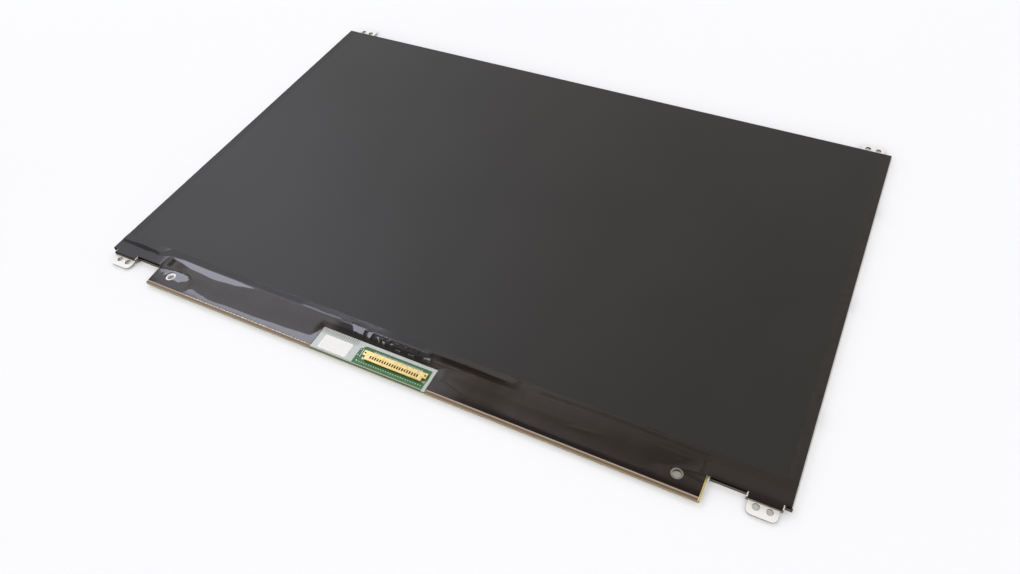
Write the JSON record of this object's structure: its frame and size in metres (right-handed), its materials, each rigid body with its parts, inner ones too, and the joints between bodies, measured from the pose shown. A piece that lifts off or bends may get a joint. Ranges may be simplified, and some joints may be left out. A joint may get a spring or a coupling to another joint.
{
  "type": "laptop screen panel",
  "caption": "Slim edge-lit laptop screen panel lying face up, with a taped control board along one edge, a flat cable socket and metal mounting ears at its corners.",
  "frame": {"origin": "under the middle of the whole panel, on the surface that it lies on", "axes": "+X across the screen to the viewer's right, +Y from the control board's edge to the far edge, +Z out of the screen"},
  "size_m": [0.272, 0.1904, 0.003],
  "materials": {
    "screen_film": "fine anti-glare matt",
    "black_tape": "glossy, wrinkled by hand",
    "rim_black": "satin",
    "cover_metal": "bare, rolled",
    "frame_plastic": "moulded satin",
    "cell_glass": "polished",
    "dark_film": "glossy",
    "clear_sheet": "frosted and clear",
    "white_sheet": "matt white",
    "amber_film": "glossy",
    "lamp_body": "satin",
    "board_laminate": "green resist over tan laminate",
    "tinned_metal": "solder bright",
    "gold_metal": "thin gold plating",
    "socket_plastic": "moulded satin",
    "shield_grey": "soft silver-grey",
    "label_white": "matt white",
    "chip_epoxy": "moulded matt",
    "part_ceramic": "matt"
  },
  "bodies": {
    "root": {"rear_cover": "cover_metal", "mould_frame": "frame_plastic", "reflector_sheet": "white_sheet", "light_guide_plate": "clear_sheet", "diffuser_sheet": "white_sheet", "lower_prism_sheet": "clear_sheet", "upper_prism_sheet": "clear_sheet", "led_flex_strip": "amber_film", "led_chips": "lamp_body", "led_tail_socket": "socket_plastic", "rear_polariser": "dark_film", "array_glass": "cell_glass", "colour_filter_glass": "cell_glass", "front_polariser": "screen_film", "rim_tape": "rim_black", "control_board": "board_laminate", "ground_rings": "tinned_metal", "shading_tape": "black_tape", "edge_tape_left": "rim_black", "edge_tape_right": "rim_black", "edge_tape_top": "rim_black", "shield_film": "shield_grey", "blank_label": "label_white", "connector_housing": "socket_plastic", "connector_contacts": "gold_metal", "connector_shell": "gold_metal", "board_pads": "tinned_metal", "timing_controller": "chip_epoxy", "power_converter": "chip_epoxy", "led_driver": "chip_epoxy", "memory_chip": "chip_epoxy", "power_inductor": "chip_epoxy", "board_capacitors": "part_ceramic", "board_resistors": "part_ceramic", "source_film_1": "amber_film", "source_driver_1": "chip_epoxy", "source_film_2": "amber_film", "source_driver_2": "chip_epoxy", "source_film_3": "amber_film", "source_driver_3": "chip_epoxy", "source_film_4": "amber_film", "source_driver_4": "chip_epoxy"}
  },
  "joints": []
}
